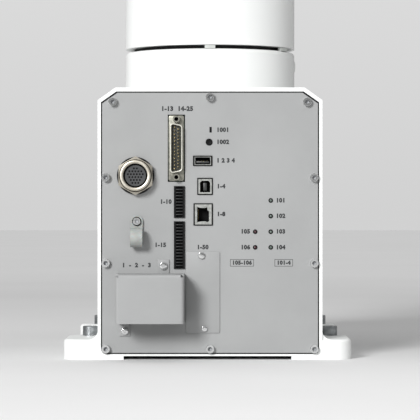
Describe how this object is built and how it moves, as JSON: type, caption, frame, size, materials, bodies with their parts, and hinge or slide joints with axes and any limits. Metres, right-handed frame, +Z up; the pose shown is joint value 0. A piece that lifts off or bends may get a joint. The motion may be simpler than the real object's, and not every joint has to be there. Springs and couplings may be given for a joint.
{
  "type": "articulated robot arm",
  "caption": "Floor-standing articulated arm on a box base that holds its controller, with a rear panel of sockets and a round tool flange.",
  "frame": {"origin": "on the floor, at the turning axis of the column, in the middle of the four base bolts", "axes": "+Z up along the column's turning axis, +Y forwards from the rear panel, +X to the right as seen from behind"},
  "size_m": [0.2344, 0.78, 0.915],
  "materials": {
    "white_casting": "satin white paint on cast aluminium",
    "panel_paint": "satin grey paint on sheet steel",
    "screw_steel": "bright steel",
    "nickel_plate": "satin nickel plate",
    "black_moulding": "matte black moulding",
    "grey_moulding": "matte light grey moulding",
    "gold_contact": "gold plated contact",
    "green_lens": "tinted lens, unlit",
    "red_lens": "tinted lens, unlit",
    "clear_nylon": "translucent nylon",
    "circuit_board": "solder mask",
    "supply_case": "sheet aluminium",
    "drive_steel": "machined steel and windings",
    "bearing_steel": "ground steel",
    "machined_flange": "machined and anodised",
    "seal_rubber": "moulded rubber"
  },
  "bodies": {
    "base": {"base_casting": "white_casting", "rear_panel": "panel_paint", "panel_screws": "screw_steel", "d_connector_shell": "nickel_plate", "d_connector_insert": "black_moulding", "d_connector_pins": "gold_contact", "circular_connector_shell": "nickel_plate", "circular_connector_nut": "nickel_plate", "circular_connector_insert": "black_moulding", "memory_port": "nickel_plate", "computer_port": "nickel_plate", "network_jack": "nickel_plate", "port_tongues": "grey_moulding", "terminal_blocks": "black_moulding", "power_window": "black_moulding", "green_lamps": "green_lens", "red_lamps": "red_lens", "option_plate": "panel_paint", "cable_clip": "clear_nylon", "inlet_cover": "panel_paint", "fitting_screws": "screw_steel", "mains_inlet": "black_moulding", "control_board": "circuit_board", "reset_switch": "black_moulding", "power_supply": "supply_case", "drive_board": "circuit_board", "j1_drive_unit": "drive_steel", "j1_bearing_outer_ring": "bearing_steel", "gap_seal_ring": "seal_rubber", "gap_stop_block": "grey_moulding", "gap_spacer_block": "grey_moulding", "neck_plug": "grey_moulding"},
    "reset_button": {"reset_button": "black_moulding"},
    "turret": {"turret_casting": "white_casting", "turret_side_cover": "white_casting", "turret_cover_screws": "screw_steel", "j2_drive_unit": "drive_steel", "j1_bearing_inner_ring": "bearing_steel", "j1_output_flange": "machined_flange", "j1_stop_lug": "machined_flange"},
    "lower_arm": {"lower_arm_casting": "white_casting", "lower_arm_cover": "white_casting", "lower_arm_cover_screws": "screw_steel", "j2_output_flange": "machined_flange", "j3_output_flange": "machined_flange"},
    "elbow": {"elbow_casting": "white_casting", "elbow_end_cover": "white_casting", "elbow_rear_cover": "white_casting", "elbow_cover_screws": "screw_steel", "j3_drive_unit": "drive_steel", "j4_drive_unit": "drive_steel"},
    "forearm": {"forearm_casting": "white_casting", "wrist_covers": "white_casting", "wrist_cover_screws": "screw_steel", "j4_output_flange": "machined_flange", "wrist_hubs": "machined_flange"},
    "wrist": {"wrist_casting": "white_casting", "j5_drive_unit": "drive_steel", "j6_drive_unit": "drive_steel"},
    "tool_flange": {"tool_flange": "machined_flange"}
  },
  "joints": [
    {"name": "reset_press", "type": "slide", "parent": "base", "child": "reset_button", "axis": [0, 1, 0], "range_m": [0, 0.0012], "stiffness_N_per_m": 300},
    {"name": "j1_turn", "type": "hinge", "parent": "base", "child": "turret", "pos_m": [0, 0, 0.26], "axis": [0, 0, 1], "range_deg": [-170, 170]},
    {"name": "j2_shoulder", "type": "hinge", "parent": "turret", "child": "lower_arm", "pos_m": [0, 0.1, 0.412], "axis": [1, 0, 0], "range_deg": [-90, 65]},
    {"name": "j3_elbow", "type": "hinge", "parent": "lower_arm", "child": "elbow", "pos_m": [0, 0.1, 0.832], "axis": [1, 0, 0], "range_deg": [-51, 190]},
    {"name": "j4_roll", "type": "hinge", "parent": "elbow", "child": "forearm", "pos_m": [0, 0.19, 0.867], "axis": [0, 1, 0], "range_deg": [-200, 200]},
    {"name": "j5_wrist", "type": "hinge", "parent": "forearm", "child": "wrist", "pos_m": [0, 0.5, 0.867], "axis": [1, 0, 0], "range_deg": [-125, 125]},
    {"name": "j6_flange", "type": "hinge", "parent": "wrist", "child": "tool_flange", "pos_m": [0, 0.556, 0.867], "axis": [0, 1, 0], "range_deg": [-360, 360]}
  ]
}
